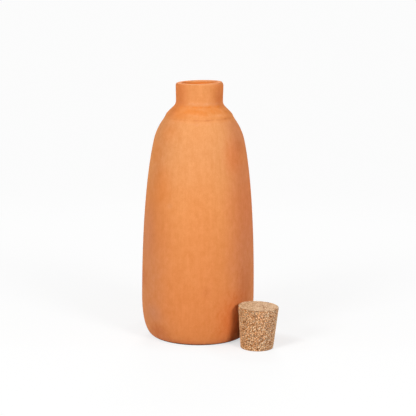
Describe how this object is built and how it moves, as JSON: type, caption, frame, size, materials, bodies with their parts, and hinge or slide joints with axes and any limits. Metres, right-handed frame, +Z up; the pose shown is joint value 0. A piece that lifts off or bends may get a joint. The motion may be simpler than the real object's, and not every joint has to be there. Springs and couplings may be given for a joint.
{
  "type": "clay water bottle",
  "caption": "Unglazed terracotta water bottle: leaning round body, seamed shoulder, coned collar and short upright neck, with its tapered cork stopper standing beside it.",
  "frame": {"origin": "centre of the bottle's flat base, on the surface it stands on", "axes": "+Z up along the bottle's axis; -Y is the front, which the picture shows; +X is to the right, the side where the stopper stands"},
  "size_m": [0.1274, 0.1174, 0.24],
  "materials": {
    "terracotta": "matte",
    "pressed_cork": "matte"
  },
  "bodies": {
    "bottle": {"clay_bottle": "terracotta"},
    "stopper": {"cork_stopper": "pressed_cork"}
  },
  "joints": [
    {"name": "stopper_lift", "type": "slide", "parent": "bottle", "child": "stopper", "axis": [0, 0, 1], "range_m": [0, 0.25]}
  ]
}
